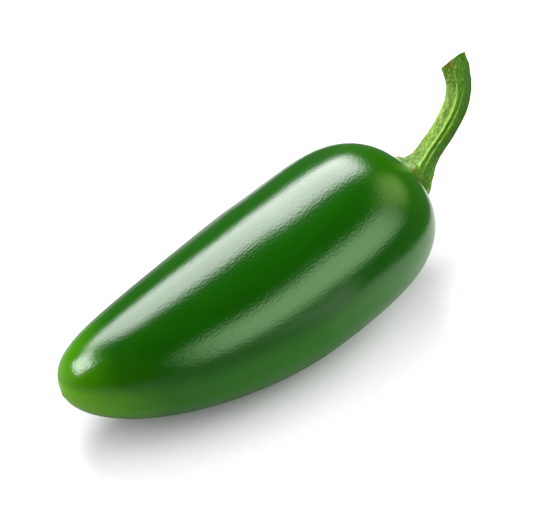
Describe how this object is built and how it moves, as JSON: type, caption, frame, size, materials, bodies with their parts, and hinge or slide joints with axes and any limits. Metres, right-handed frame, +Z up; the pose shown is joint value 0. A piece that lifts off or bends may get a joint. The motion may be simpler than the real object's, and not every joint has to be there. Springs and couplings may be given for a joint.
{
  "type": "chilli pepper",
  "caption": "Plump green chilli pepper lying on its side, with a rounded tip, a broad shoulder, a flared calyx and a curved, ridged stalk cut at a slant.",
  "frame": {"origin": "middle of the small flat spot under the pod, level with the surface it lies on", "axes": "+X along the pod from its tip towards the stalk, +Z up from the surface"},
  "size_m": [0.094, 0.031, 0.0317],
  "materials": {
    "pod_skin": "glossy waxy green fruit skin, lighter at the tip",
    "stem_rind": "satin green stalk with fine lengthwise ridges"
  },
  "bodies": {
    "root": {"pod": "pod_skin", "stem": "stem_rind"}
  },
  "joints": []
}
